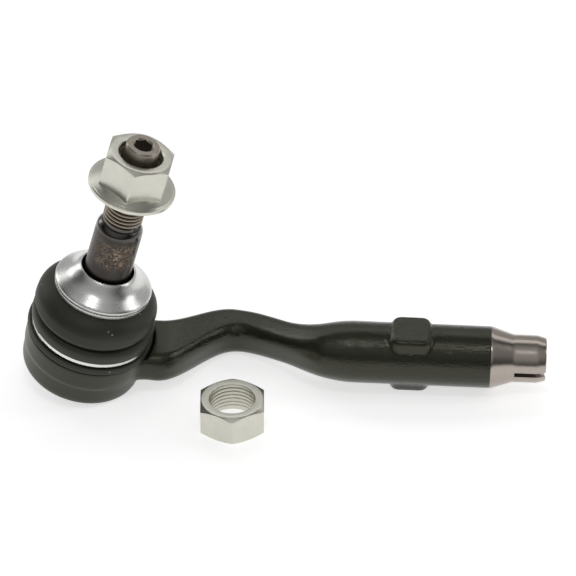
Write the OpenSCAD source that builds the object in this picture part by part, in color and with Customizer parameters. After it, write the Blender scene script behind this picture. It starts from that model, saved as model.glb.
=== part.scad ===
// Outer tie rod end: a forged ball socket with an S-shaped arm, a sealed ball stud that
// swings and spins, a flange nut on the stud and a loose nut for the slotted end.
// Row frame: origin at the centre of the ball, +X towards the slotted end, +Z up from
// the bench that the part lies on.

/* [Lying position] */
// Roll of the forging about its rod where it rests on the bench, in degrees
lie_roll = 7.6; // [0:0.1:15]
// Slope of the rod down towards its slotted end, in degrees
lie_pitch = 1.5; // [0:0.1:4]
// Swing of the stud along the rod at rest, in degrees
rest_along = 0.8; // [-6:0.1:6]
// Swing of the stud across the rod at rest, in degrees
rest_across = 5.5; // [-8:0.1:8]

/* [Ball stud] */
// Diameter of the ball
ball_d = 25; // [21:0.1:30]
// Diameter of the neck above the ball
neck_d = 12.4; // [11:0.1:14]
// Height of the shank's shoulder above the ball's centre
shoulder_height = 50; // [46:0.5:60]
// Length of the thread and its point above the shoulder
stud_end_length = 34; // [32:0.1:41]
// Outside diameter of the thread, shared by the stud, both nuts and the rod
thread_d = 14; // [12:0.1:16.8]
// Pitch of the thread
thread_pitch = 1.5; // [1:0.25:2]
// Width of the shoulder between the shank and the thread
shoulder_step = 1.2; // [1:0.1:1.8]
// Width across the flats of the hexagon socket in the stud's end
stud_key_af = 6; // [5:0.5:7]

/* [Bearing] */
// Thickness of the two bearing shells
shell_wall = 2.5; // [2.2:0.1:3]
// Thickness of the closing cap
cap_thick = 1.6; // [1:0.1:2]
// Running clearance around the ball
ball_clear = 0.05; // [0.02:0.01:0.08]

/* [Socket] */
// Lean of the socket's axis towards the rod, in degrees
socket_lean = 12; // [0:0.1:16]
// Wall of the socket at its foot
socket_wall = 6; // [5:0.1:7.2]
// How far the socket's top rim stands outside its foot
rim_flare = 0.9; // [0:0.1:2]
// Depth of the socket below the ball
under_ball = 3.9; // [3.8:0.1:5]
// Height of the socket's top rim above the ball's centre
rim_height = 0.4; // [-1:0.1:1]
// Wall of the turned neck that the boot grips
seat_wall = 3.2; // [2.6:0.1:3.8]
// Height of the socket's mouth above the ball's centre
mouth_height = 7.6; // [7:0.1:8.6]
// How far the mouth closes in over the ball's widest part
mouth_lip = 0.8; // [0.5:0.1:1.4]

/* [Boot] */
// Thickness of the boot's foot
foot_wall = 3.9; // [3.4:0.1:4.6]
// Wall of the rubber in the bulge
boot_wall = 1.8; // [1.5:0.1:2.2]
// How far the bulge stays inside the foot
bulge_inset = 1.2; // [0.4:0.1:1.6]
// How far the lower clamp ring stays inside the foot
clamp_inset = 1.4; // [1:0.1:1.8]
// Height of the lower clamp ring above the ball's centre
clamp_height = 4.2; // [3.8:0.1:4.6]

/* [Collar] */
// Outside diameter of the collar's rim
collar_d = 34.2; // [32:0.1:38]
// Gap between the collar and the shank
collar_gap = 1; // [0.6:0.1:1.4]
// Height of the collar's plate above the ball's centre, along the stud
collar_height = 20.7; // [20.4:0.1:22]

/* [Arm and rod] */
// Outside diameter of the rod
rod_d = 21.7; // [20:0.1:26]
// Distance from the ball's centre to the tip, along the rod
rod_reach = 159.5; // [133:0.5:192]
// How far the rod's axis passes below the ball's centre
rod_drop = 5.05; // [3:0.05:6]
// How far the arm swings out sideways at its crest
arm_out = 18; // [15:0.5:21.6]
// How far the arm dips at its crest
arm_dip = 10.05; // [6:0.05:11]
// Distance from the ball's centre to the arm's crest
arm_crest = 50; // [46:0.5:56]
// Width of the arm where it leaves the socket
arm_root = 23; // [19.2:0.1:24]
// Height of the arm where it leaves the socket
arm_root_height = 12.2; // [10.2:0.1:13]
// Width and height of the arm at its waist
arm_waist = 13.1; // [12:0.1:15.7]
// How far the two wrench pads stand out from the rod
pad_rise = 1.15; // [0.5:0.05:2]
// Width of a pad's face
pad_face = 12; // [10:0.5:13]
// Length of a pad's face along the rod
pad_length = 12; // [10:0.1:18]
// Distance from the middle of the pads to the tip
pad_to_tip = 47.3; // [40:0.1:56]

/* [Slotted end] */
// Wall of the slotted end outside the thread's minor diameter
collet_wall = 2.16; // [1.8:0.01:2.6]
// Length of the bare taper and slotted end together
bare_length = 19; // [17:0.5:24]
// Length of the slotted end
collet_length = 11.4; // [10:0.1:14]
// Width of the two slots
slot_width = 1.9; // [1.2:0.1:2.4]
// Depth of the threaded bore
bore_depth = 42; // [30:1:50]

/* [Nuts] */
// Width across the flats of both nuts
nut_af = 22; // [20:0.5:26.5]
// Outside diameter of the loose nut's thread
lock_thread_d = 16; // [14:0.5:17]
// Height of the loose nut
lock_nut_height = 11; // [8:0.5:14]
// How far the flange stands out past the corners of its nut
flange_rim = 2.5; // [1.5:0.1:4]
// Height of the flange nut
flange_nut_height = 15.3; // [13:0.1:17]
// Gap between the shank's shoulder and the flange nut
nut_stand_off = 15; // [0.5:0.5:16]
// Distance of the loose nut from the ball, along the rod
lock_nut_along = 50.8; // [40:0.1:120]
// Distance of the loose nut in front of the ball
lock_nut_front = 24.4; // [23:0.1:60]

/* [Hidden] */
$fn = 96;
// overrun of a cut, and the overlap that joins two shapes of one piece
eps = 0.01;
over = 1;
// gap between metal pieces that seat on each other, and round rubber
seat_gap = 0.05;
soft_gap = 0.3;
// small broken edge
edge = 0.4;

// a smooth step from 0 to 1, flat at both ends
function ease(t) = let (u = min(1, max(0, t))) u * u * (3 - 2 * u);
// a value that eases from a to b while x goes from x0 to x1
function blend(a, b, x, x0, x1) = a + (b - a) * ease((x - x0) / (x1 - x0));

// ---- places ----
module as_it_lies() rotate([lie_roll, lie_pitch, 0]) children();
module in_socket() as_it_lies() rotate([0, socket_lean, 0]) children();
module on_stud() in_socket() rotate([-rest_across, rest_along, 0]) children();
module at_collar() on_stud() translate([0, 0, collar_height]) children();
// the rod's own frame: X along the rod from below the ball's centre, Z up through the pads
module on_rod() as_it_lies() translate([0, 0, -rod_drop]) children();
module along_rod(from) on_rod() translate([from, 0, 0]) rotate([0, 90, 0]) children();

// ---- sizes that follow from the ones above ----
shell_d = ball_d + 2 * shell_wall;
socket_r = shell_d / 2 + socket_wall;
rim_r = socket_r + rim_flare;
seat_r = shell_d / 2 + seat_wall;
socket_depth = ball_d / 2 + under_ball;
mouth_d = ball_d - 2 * mouth_lip;
shank_d = thread_d + 2 * shoulder_step;
thread_minor_d = thread_d - 1.0825 * thread_pitch;
lock_minor_d = lock_thread_d - 1.0825 * thread_pitch;
collet_d = thread_minor_d + 2 * collet_wall;
pad_middle = rod_reach - pad_to_tip;
stud_top = shoulder_height + stud_end_length;
nut_corner_d = nut_af / cos(30);

// ---- forging ----
lip = 1.2;
cap_r = shell_d / 2 + 1.5;
cap_top = -socket_depth + lip + cap_thick;
bearing_shoulder = mouth_height - 4.6;
bearing_top = mouth_height - 1.2;
// the rounded edge of the foot, from the flat bottom to the wall
foot_edge = [[socket_r - 2.2, -socket_depth], [socket_r - 0.8, -socket_depth + 0.5],
             [socket_r, -socket_depth + 1.8]];
flare_low = -7.6;
bead = 0.5;
module cup_outside() rotate_extrude() polygon(concat(
    [[0, -socket_depth + eps]], foot_edge,
    [[rim_r - 0.6, flare_low], [rim_r - 0.1, flare_low + 0.8], [rim_r, rim_height - 1.2],
     [rim_r - 2 * edge, rim_height], [seat_r, rim_height], [seat_r, mouth_height - 1.6],
     [seat_r + bead, mouth_height - 1.2], [seat_r + bead, mouth_height - bead],
     [seat_r, mouth_height], [0, mouth_height]]));
module cup_hollow() rotate_extrude() polygon([
    [0, -socket_depth - over], [cap_r, -socket_depth - over], [cap_r, cap_top],
    [shell_d / 2 + seat_gap, cap_top], [shell_d / 2 + seat_gap, bearing_shoulder],
    [mouth_d / 2 + edge, bearing_top + seat_gap], [mouth_d / 2, bearing_top + edge],
    [mouth_d / 2 + over, mouth_height + eps], [0, mouth_height + eps]]);
// the rolled-over edge that holds the closing cap
module rolled_edge() translate([0, 0, -socket_depth]) difference() {
    cylinder(r = cap_r + edge, h = lip - seat_gap);
    translate([0, 0, -eps]) cylinder(r1 = cap_r - 1.2, r2 = cap_r - 2.4, h = lip + over);
}

// the arm leaves the socket, swings out and dips to its crest, comes back and turns round
arm_start = 12;
arm_root_z = -3.5;
boot_room = 0.5;
bend_start = 24.5;
bend_end = 82.5;
waist_end = 54;
round_start = 67.5;
rod_start = 92.5;
arm_corner = 4.4;
// the arm's round end stays this far inside the rod, so that its facets don't graze the rod's surface
arm_end_inset = 0.1;
arm_step = 3;
corner_steps = 6;
function arm_y(x) = x < arm_crest ? blend(0, arm_out, x, bend_start, arm_crest)
                                  : blend(arm_out, 0, x, arm_crest, bend_end);
function arm_z(x) = x < arm_crest ? blend(arm_root_z, -arm_dip, x, bend_start, arm_crest)
                                  : blend(-arm_dip, 0, x, arm_crest, bend_end);
function arm_width(x) = x < waist_end ? blend(arm_root, arm_waist, x, bend_start, waist_end)
                                      : blend(arm_waist, rod_d - 2 * arm_end_inset, x, round_start, rod_start);
function arm_height(x) = x < waist_end ? blend(arm_root_height, arm_waist, x, bend_start, waist_end)
                                       : arm_width(x);
function arm_radius(x) = blend(arm_corner, rod_d / 2, x, round_start, rod_start);
// one rounded rectangle ring of the arm, square to the X axis
function arm_ring(x) = let (w = arm_width(x) / 2, h = arm_height(x) / 2, r = min(arm_radius(x), h - eps))
    [for (q = [0:3]) for (i = [0:corner_steps])
        let (a = 90 * (q + i / corner_steps),
             cy = (q == 0 || q == 3 ? 1 : -1) * (w - r), cz = (q < 2 ? 1 : -1) * (h - r))
        [x, arm_y(x) + cy + r * cos(a), arm_z(x) + cz + r * sin(a)]];
module arm() {
    xs = [for (x = [arm_start:arm_step:rod_start + arm_step]) x];
    n = 4 * (corner_steps + 1);
    last = (len(xs) - 1) * n;
    walls = [for (k = [0:len(xs) - 2]) for (i = [0:n - 1]) let (j = (i + 1) % n)
        each [[k * n + i, k * n + n + j, k * n + j], [k * n + i, k * n + n + i, k * n + n + j]]];
    polyhedron([for (x = xs) each arm_ring(x)],
        concat([[for (i = [0:n - 1]) i]], walls, [[for (i = [n - 1:-1:0]) last + i]]));
}
pad_flare = 1;
pad_draft = 1.8;
module pad() hull() {
    translate([-pad_length / 2, -pad_face / 2, 0]) cube([pad_length, pad_face, rod_d / 2 + pad_rise]);
    translate([-pad_length / 2 - pad_flare, -pad_face / 2 - pad_draft, 0])
        cube([pad_length + 2 * pad_flare, pad_face + 2 * pad_draft, rod_d / 4]);
}
tip_bevel = [3, 0.9];
module rod_outside() {
    taper = rod_reach - bare_length;
    waist = rod_reach - collet_length;
    along_rod(rod_start - over) cylinder(d = rod_d, h = taper - rod_start + over);
    along_rod(taper) cylinder(d1 = rod_d, d2 = collet_d, h = waist - taper);
    along_rod(waist - eps) cylinder(d = collet_d, h = collet_length - tip_bevel.x + eps);
    along_rod(rod_reach - tip_bevel.x)
        cylinder(d1 = collet_d, d2 = collet_d - 2 * tip_bevel.y, h = tip_bevel.x);
}
drill_point = 3.5;
module rod_inside() {
    bottom = rod_reach - bore_depth;
    along_rod(bottom) cylinder(d = thread_minor_d, h = bore_depth + over);
    along_rod(bottom - drill_point) cylinder(d1 = over, d2 = thread_minor_d, h = drill_point + eps);
    on_rod() translate([rod_reach - collet_length + edge, -rod_d, -slot_width / 2])
        cube([collet_length, 2 * rod_d, slot_width]);
}
module forged_body() color([0.07, 0.07, 0.06]) {
    difference() {
        union() {
            in_socket() cup_outside();
            difference() {
                on_rod() arm();
                // the arm's root is cut away round the boot, down to the socket's rim
                in_socket() translate([0, 0, rim_height]) cylinder(r = foot_r + boot_room, h = mouth_height);
            }
            rod_outside();
            on_rod() translate([pad_middle, 0, 0]) for (side = [0, 180]) rotate([side, 0, 0]) pad();
        }
        in_socket() cup_hollow();
        rod_inside();
    }
    in_socket() rolled_edge();
}

// ---- bearing ----
spring_r = [11.2, shell_d / 2 - edge];
spring_gap = 0.35;
spring_thick = 0.38;
spring_room = 0.8;
module ball_space() sphere(d = ball_d + 2 * ball_clear);
module upper_bearing() color([0.85, 0.84, 0.78]) in_socket() difference() {
    rotate_extrude() polygon([[0, 2 * seat_gap], [shell_d / 2, 2 * seat_gap],
        [shell_d / 2, bearing_shoulder - seat_gap], [mouth_d / 2 + edge - seat_gap, bearing_top - seat_gap],
        [0, bearing_top - seat_gap]]);
    ball_space();
    cylinder(r = mouth_d / 2 - 0.9, h = mouth_height);
}
module lower_bearing() color([0.85, 0.84, 0.78]) in_socket() difference() {
    rotate_extrude() polygon([[0, cap_top + spring_gap], [spring_r[0] - 0.2, cap_top + spring_gap],
        [spring_r[0] - 0.2, cap_top + spring_room], [shell_d / 2, cap_top + spring_room],
        [shell_d / 2, -2 * seat_gap], [0, -2 * seat_gap]]);
    ball_space();
    translate([0, 0, -ball_d]) cylinder(d = 8, h = ball_d);
}
module disc_spring() color([0.4, 0.4, 0.42]) in_socket() translate([0, 0, cap_top]) rotate_extrude()
    polygon([[spring_r[0], spring_gap], [spring_r[1], 0.02], [spring_r[1], 0.02 + spring_thick],
        [spring_r[0], spring_gap + spring_thick]]);
module end_cap() color([0.1, 0.1, 0.1]) in_socket() translate([0, 0, -socket_depth + lip])
    cylinder(r = cap_r - seat_gap, h = cap_thick - seat_gap);

// ---- stud ----
point_length = 5;
point_r = thread_d / 2 - 1.1;
key_depth = 6;
ball_flat = 1.4;
neck_top = ball_d / 2 + 0.5;
run_out = 1.4;
// height of the collar's cone above its plate
cone_top = 8.1;
// the shank is turned a little smaller inside the collar, below the part that fits its eye
shank_relief = 0.5;
fitted_from = collar_height + cone_top + 0.7;
module ball_stud() color([0.32, 0.3, 0.28]) on_stud() difference() {
    union() {
        sphere(d = ball_d);
        rotate_extrude() polygon([[0, 0], [neck_d / 2, 0], [neck_d / 2, neck_top],
            [shank_d / 2 - shank_relief - edge, neck_top + 3.6], [shank_d / 2 - shank_relief, neck_top + 5],
            [shank_d / 2 - shank_relief, fitted_from], [shank_d / 2, fitted_from],
            [shank_d / 2, shoulder_height - 0.9], [shank_d / 2 - 0.9, shoulder_height],
            [thread_d / 2 - over, shoulder_height], [thread_d / 2 - over, shoulder_height + run_out],
            [thread_d / 2, shoulder_height + run_out + 0.8], [thread_d / 2, stud_top - point_length - 1],
            [point_r, stud_top - point_length], [point_r, stud_top - edge], [point_r - edge, stud_top],
            [0, stud_top]]);
    }
    translate([0, 0, -ball_d / 2 - over]) cylinder(d = ball_d, h = over + ball_flat);
    translate([0, 0, stud_top - key_depth])
        cylinder(d = stud_key_af / cos(30), h = key_depth + over, $fn = 6);
}

// ---- collar ----
collar_bore_r = shank_d / 2 + collar_gap;
hub_r = collar_bore_r + 1.6;
hub_depth = 3.4;
skirt = 1;
skirt_wall = 3;
rim_top = 2;
groove = 0.5;
module collar() color([0.86, 0.85, 0.83]) at_collar() rotate_extrude() polygon([
    [collar_bore_r, -hub_depth], [hub_r, -hub_depth], [hub_r, 0],
    [collar_d / 2 - skirt_wall, 0], [collar_d / 2 - skirt_wall, -skirt], [collar_d / 2 - 0.2, -skirt],
    [collar_d / 2 - 0.2, groove], [collar_d / 2 - groove - 0.2, groove + 0.1],
    [collar_d / 2 - groove - 0.2, 2.4 * groove], [collar_d / 2, 2.6 * groove], [collar_d / 2, rim_top],
    [collar_d / 2 - 1.6, rim_top + 1.2], [collar_d / 2 - 4.4, rim_top + 3.2],
    [collar_bore_r + 1.2, cone_top], [collar_bore_r + 0.5, cone_top + 0.6],
    [collar_bore_r, cone_top + 0.6]]);
// the snap ring on the collar's hub that holds the boot's lip up against the plate
ring_low = -3.1;
ring_high = 0.9;
ring_wall = 1.2;
module top_ring() color([0.6, 0.6, 0.6]) at_collar() translate([0, 0, ring_low]) difference() {
    cylinder(r = hub_r + seat_gap + ring_wall, h = ring_high);
    translate([0, 0, -over]) cylinder(r = hub_r + seat_gap, h = ring_high + 2 * over);
}

// ---- boot: a foot on the socket's neck and a bulge that reaches up to the collar ----
foot_inner = seat_r + soft_gap;
foot_r = foot_inner + foot_wall;
clamp_r = foot_r - clamp_inset;
clamp_wire = [1, 1.7];
groove_half = 1.1;
boot_waist = 10.2;
foot_top_wall = 0.6;
module boot_foot() color([0.12, 0.12, 0.12]) in_socket() rotate_extrude() polygon([
    [foot_inner, rim_height + soft_gap], [foot_r - 0.6, rim_height + soft_gap],
    [foot_r, rim_height + 1], [clamp_r + 0.6, clamp_height - groove_half],
    [clamp_r - clamp_wire.x - soft_gap, clamp_height - groove_half],
    [clamp_r - clamp_wire.x - soft_gap, clamp_height + groove_half],
    [foot_r - 0.8, clamp_height + groove_half], [foot_r - edge, clamp_height + 2 * groove_half],
    [foot_r - 0.8, boot_waist - 0.8], [foot_r - boot_wall, boot_waist],
    [foot_r - boot_wall - foot_top_wall, boot_waist], [seat_r + bead + soft_gap, boot_waist - 1.6],
    [seat_r + bead + soft_gap, mouth_height - 2.4], [foot_inner, mouth_height - 2.4]]);
module clamp_ring() color([0.8, 0.8, 0.8]) in_socket()
    translate([0, 0, clamp_height - clamp_wire.y / 2]) difference() {
    cylinder(r = clamp_r, h = clamp_wire.y);
    translate([0, 0, -over]) cylinder(r = clamp_r - clamp_wire.x, h = clamp_wire.y + 2 * over);
    rotate([0, 0, 222]) translate([0, -0.6, -over]) cube([clamp_r + over, 1.2, clamp_wire.y + 2 * over]);
}
bulge_r = foot_r - bulge_inset;
bulge_mid = boot_waist + 3.6;
bulge_core = bulge_r - 9;
bulge_rise = collar_height - bulge_mid - 0.6;
bulge_back = 0.7;
function bulge_arc(wall, angles) = [for (a = angles)
    [bulge_core + (bulge_r - bulge_core - wall) * cos(a), bulge_mid + (bulge_rise - wall) * sin(a)]];
module boot_bellows() color([0.12, 0.12, 0.12]) difference() {
    middle = [sin(rest_along), sin(rest_across)] * collar_height / 2;
    union() {
        in_socket() translate([middle.x - bulge_back, middle.y, 0]) rotate_extrude() polygon(concat(
            [[bulge_r - boot_wall, boot_waist + soft_gap]], bulge_arc(0, [-24:6:90]),
            [[hub_r + 2, bulge_mid + bulge_rise], [hub_r + 2, bulge_mid + bulge_rise - boot_wall]],
            bulge_arc(boot_wall, [90:-6:0])));
        at_collar() translate([0, 0, -soft_gap - boot_wall]) difference() {
            cylinder(r = hub_r + 4, h = boot_wall);
            translate([0, 0, -over]) cylinder(r = hub_r + soft_gap, h = boot_wall + 2 * over);
        }
    }
    // room for the collar's skirt and hub and for the snap ring
    at_collar() translate([0, 0, -soft_gap]) cylinder(r = collar_d / 2 - skirt_wall + eps, h = 20);
    at_collar() translate([0, 0, -skirt - soft_gap]) difference() {
        cylinder(r = collar_d / 2 + soft_gap, h = 20);
        translate([0, 0, -over]) cylinder(r = collar_d / 2 - skirt_wall - soft_gap, h = 30);
    }
    at_collar() translate([0, 0, -2 * hub_depth]) cylinder(r = hub_r + soft_gap, h = 4 * hub_depth);
    at_collar() translate([0, 0, -2 * hub_depth])
        cylinder(r = hub_r + ring_wall + seat_gap + soft_gap, h = 2 * hub_depth + ring_low + ring_high + soft_gap);
}

// ---- nuts ----
chamfer = 0.9;
module hexagon(h) cylinder(d = nut_corner_d, h = h, $fn = 6);
// the round body that breaks a nut's corners at its top, and at its bottom too
module corner_break(h, at_bottom) {
    low = at_bottom ? chamfer : 0;
    if (at_bottom) cylinder(d1 = nut_af - 1, d2 = nut_corner_d + 0.2, h = chamfer + edge);
    translate([0, 0, low]) cylinder(d = nut_corner_d + over, h = h - low - chamfer);
    translate([0, 0, h - chamfer - edge]) cylinder(d1 = nut_corner_d + 0.2, d2 = nut_af - 1, h = chamfer + edge);
}
flange_rim_high = 1.6;
flange_cone = 3.1;
module flange_nut() color([0.8, 0.79, 0.76]) on_stud()
    translate([0, 0, shoulder_height + nut_stand_off]) difference() {
    flange_r = nut_corner_d / 2 + flange_rim;
    union() {
        intersection() {
            rotate([0, 0, 22]) hexagon(flange_nut_height);
            corner_break(flange_nut_height, false);
        }
        rotate_extrude() polygon([[0, 0], [flange_r - edge, 0], [flange_r, edge], [flange_r, flange_rim_high],
            [flange_r - 0.5, flange_rim_high + 0.5], [nut_af / 2 - 0.5, flange_cone], [0, flange_cone]]);
    }
    translate([0, 0, -over]) cylinder(d = thread_d + 2 * seat_gap, h = flange_nut_height + 2 * over);
    translate([0, 0, flange_nut_height - 1.6]) cylinder(d1 = thread_d, d2 = thread_d + 2.6, h = 1.6 + eps);
}
// the bench touches the edge of the socket's foot, which the forging's own tilt brings down
tilt = acos(cos(lie_pitch) * cos(lie_roll) * cos(socket_lean) - sin(lie_pitch) * sin(socket_lean));
bench_drop = max([for (p = foot_edge) p.x * sin(tilt) - p.y * cos(tilt)]);
countersink = 0.9;
module lock_nut() color([0.82, 0.81, 0.79])
    translate([lock_nut_along, -lock_nut_front, -bench_drop]) difference() {
    intersection() {
        rotate([0, 0, 32]) hexagon(lock_nut_height);
        corner_break(lock_nut_height, true);
    }
    translate([0, 0, -over]) cylinder(d = lock_minor_d, h = lock_nut_height + 2 * over);
    for (end = [0, 1]) translate([0, 0, end * lock_nut_height]) mirror([0, 0, end])
        translate([0, 0, -eps])
            cylinder(d1 = lock_minor_d + 2 * countersink + 0.2, d2 = lock_minor_d, h = countersink);
}

forged_body();
upper_bearing();
lower_bearing();
disc_spring();
end_cap();
ball_stud();
boot_foot();
boot_bellows();
clamp_ring();
top_ring();
collar();
flange_nut();
lock_nut();
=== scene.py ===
"""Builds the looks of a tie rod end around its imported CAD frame.

The file is laid out as an add-on: property groups hold the sizes and colours, each operator
makes one piece or group of pieces, and main() calls them in order. Local sizes are millimetres.
"""
import math

import bmesh
import bpy
import numpy as np
from bpy.props import FloatProperty, FloatVectorProperty, PointerProperty
from mathutils import Matrix, Vector


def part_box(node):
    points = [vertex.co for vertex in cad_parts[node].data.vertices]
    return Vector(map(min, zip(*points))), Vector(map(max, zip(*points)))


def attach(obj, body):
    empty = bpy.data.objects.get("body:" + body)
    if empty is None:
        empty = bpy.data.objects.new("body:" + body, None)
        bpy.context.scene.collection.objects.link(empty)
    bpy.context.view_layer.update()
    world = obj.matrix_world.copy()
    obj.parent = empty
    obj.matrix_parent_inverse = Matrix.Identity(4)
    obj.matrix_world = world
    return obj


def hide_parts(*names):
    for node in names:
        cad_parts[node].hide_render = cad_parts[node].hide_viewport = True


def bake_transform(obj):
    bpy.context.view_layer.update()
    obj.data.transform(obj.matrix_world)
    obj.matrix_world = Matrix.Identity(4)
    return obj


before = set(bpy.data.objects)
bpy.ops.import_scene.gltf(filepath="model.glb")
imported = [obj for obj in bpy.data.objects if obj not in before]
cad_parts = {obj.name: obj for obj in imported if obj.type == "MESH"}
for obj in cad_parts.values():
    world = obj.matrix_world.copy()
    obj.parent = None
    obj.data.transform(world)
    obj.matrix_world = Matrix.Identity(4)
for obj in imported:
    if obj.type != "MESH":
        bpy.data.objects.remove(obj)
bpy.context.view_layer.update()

bl_info = {
    "name": "Tie rod end",
    "version": (1, 0, 0),
    "blender": (4, 5, 0),
    "location": "3D View > Sidebar > Tie rod",
    "description": "Makes the pieces of a tie rod end and the studio it lies in",
    "category": "Object",
}

MM = 0.001
SHARP_ANGLE = math.radians(38)
# the tint that the black coat and the rubber give to what they reflect
OLIVE = (1.0, 1.0, 0.80)


# ---- sizes and colours -------------------------------------------------------------------

def size(name, text, value):
    """A length in millimetres that a user can change."""
    return FloatProperty(name=name, description=text, default=value, min=0.0, precision=3)


def colour(name, text, value):
    return FloatVectorProperty(name=name, description=text, default=value, subtype="COLOR",
                               size=3, min=0.0, max=1.0)


def angle(name, text, value):
    return FloatProperty(name=name, description=text, default=math.radians(value), subtype="ANGLE")


class LieSettings(bpy.types.PropertyGroup):
    """How the part lies on the bench."""
    roll: angle("Roll", "Roll of the forging about its rod", 7.6)
    pitch: angle("Pitch", "Slope of the rod down towards its slotted end", 1.5)
    lean: angle("Socket lean", "Lean of the socket's axis towards the rod", 12.0)
    along: angle("Swing along", "Swing of the stud along the rod", 0.8)
    across: angle("Swing across", "Swing of the stud across the rod", 5.5)
    rod_drop: size("Rod drop", "How far the rod's axis passes below the ball's centre", 5.05)


class ForgingSettings(bpy.types.PropertyGroup):
    """The forged socket, arm and rod."""
    socket_radius: size("Socket radius", "Outside radius of the socket at its foot", 21.0)
    rim_flare: size("Rim flare", "How far the socket's upper band stands outside its foot", 0.8)
    socket_depth: size("Socket depth", "Depth of the socket below the ball's centre", 16.4)
    band_low: size("Band", "Depth at which the upper band begins", 7.3)
    cavity_radius: size("Cavity radius", "Radius of the bearing's cavity", 15.05)
    cap_radius: size("Cap radius", "Radius of the closing cap's seat", 16.5)
    neck_radius: size("Neck radius", "Radius of the neck inside the boot", 18.2)
    rod_radius: size("Rod radius", "Outside radius of the rod", 10.85)
    reach: size("Reach", "Distance from the ball's centre to the tip, along the rod", 159.5)
    bare_length: size("Bare length", "Length of the bare taper and slotted end", 19.0)
    arm_out: size("Arm out", "How far the arm swings out sideways", 18.0)
    arm_dip: size("Arm dip", "How far the arm dips at its crest", 10.05)
    arm_crest: size("Arm crest", "Distance from the ball to the arm's crest", 50.0)
    arm_root: size("Arm root", "Width of the arm where it leaves the socket", 23.0)
    arm_root_height: size("Arm root height", "Height of the arm where it leaves the socket", 12.2)
    arm_waist: size("Arm waist", "Width of the arm at its waist", 13.1)
    pad_middle: size("Pad middle", "Distance from the ball to the middle of the pads", 112.2)
    pad_height: size("Pad height", "Height of a pad's face above the rod's axis", 12.0)
    voxel: size("Grain", "Size of the mesh's quads before smoothing", 0.5)
    coat: colour("Coat", "Colour of the black coat", (0.0125, 0.0130, 0.0088))
    bare: colour("Bare steel", "Colour of the turned end", (0.42, 0.375, 0.335))


class ColletSettings(bpy.types.PropertyGroup):
    """The bare, slotted and threaded end."""
    radius: size("Radius", "Outside radius of the slotted end", 8.35)
    length: size("Length", "Length of the slotted end", 11.4)
    slot_width: size("Slot width", "Width of the two slots", 1.9)
    bore_depth: size("Bore depth", "Depth of the threaded bore", 42.0)


class ThreadSettings(bpy.types.PropertyGroup):
    """The thread that the stud, the nuts and the rod share."""
    major: size("Major radius", "Outside radius of the male thread", 7.0)
    pitch: size("Pitch", "Distance from turn to turn", 1.5)
    depth: size("Depth", "Height of a ridge", 0.84)


class StudSettings(bpy.types.PropertyGroup):
    """The ball stud."""
    ball_radius: size("Ball radius", "Radius of the ball", 12.5)
    neck_radius: size("Neck radius", "Radius of the neck above the ball", 6.2)
    shank_radius: size("Shank radius", "Radius of the plain shank", 8.2)
    shoulder: size("Shoulder", "Height of the shank's shoulder", 50.0)
    top: size("Top", "Height of the stud's end", 84.0)
    key_width: size("Key width", "Width across the flats of the hexagon socket", 6.0)
    steel: colour("Dark steel", "Colour of the phosphated steel", (0.040, 0.035, 0.030))
    stain: colour("Stain", "Colour of the copper-brown stain on the shank", (0.42, 0.30, 0.205))


class BootSettings(bpy.types.PropertyGroup):
    """The rubber boot and its rings."""
    foot_radius: size("Foot radius", "Outside radius of the boot's foot", 22.4)
    waist: size("Waist", "Height of the groove between the foot and the bulge", 10.2)
    bulge_radius: size("Bulge radius", "Outside radius of the bulge", 21.2)
    bulge_back: size("Bulge offset", "How far the leaning stud pushes the bulge back", 0.7)
    wall: size("Wall", "Thickness of the rubber", 1.8)
    clamp_height: size("Clamp height", "Height of the lower clamp ring", 4.2)
    rubber: colour("Rubber", "Colour of the rubber", (0.013, 0.013, 0.0125))


class CollarSettings(bpy.types.PropertyGroup):
    """The turned collar."""
    height: size("Height", "Height of the collar's plate along the stud", 20.7)
    rim_radius: size("Rim radius", "Outside radius of the rim", 17.1)
    bore_radius: size("Bore radius", "Inside radius", 9.2)
    metal: colour("Aluminium", "Colour of the turned aluminium", (0.66, 0.66, 0.64))


class NutSettings(bpy.types.PropertyGroup):
    """The flange nut and the loose nut."""
    across_flats: size("Across flats", "Width across the flats of both nuts", 22.0)
    flange_radius: size("Flange radius", "Outside radius of the flange", 15.2)
    flange_nut_height: size("Flange nut height", "Height of the flange nut", 15.3)
    lock_bore: size("Loose nut's bore", "Radius at the root of the loose nut's thread", 8.0)
    lock_nut_height: size("Lock nut height", "Height of the loose nut", 11.0)
    flange_turn: angle("Flange nut turn", "Turn of the flange nut on the stud", 22.0)
    lock_turn: angle("Lock nut turn", "Turn of the loose nut on the bench", 32.0)
    zinc: colour("Zinc", "Colour of the zinc plate", (0.63, 0.62, 0.55))


class StudioSettings(bpy.types.PropertyGroup):
    """The floor, the lights and the camera."""
    elevation: angle("Elevation", "How far the camera looks down", 36.8)
    azimuth: angle("Azimuth", "Turn of the camera about the vertical", 1.94)
    distance: FloatProperty(name="Distance", description="Camera to its target", default=1.6,
                            min=0.1, subtype="DISTANCE", unit="LENGTH")
    target: FloatVectorProperty(name="Target", description="Point that the camera looks at",
                                default=(0.06743, 0.05468, -0.02072), size=3, subtype="TRANSLATION",
                                unit="LENGTH")
    lens: FloatProperty(name="Lens", description="Focal length for a 36 mm sensor, in millimetres",
                        default=276.8, min=1.0)
    floor: colour("Floor", "Colour of the floor", (0.85, 0.85, 0.85))
    glow: FloatProperty(name="Glow", description="Light that the floor gives by itself", default=0.62,
                        min=0.0)


GROUPS = {"lie": LieSettings, "forging": ForgingSettings, "collet": ColletSettings,
          "thread": ThreadSettings, "stud": StudSettings, "boot": BootSettings,
          "collar": CollarSettings, "nuts": NutSettings, "studio": StudioSettings}


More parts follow.
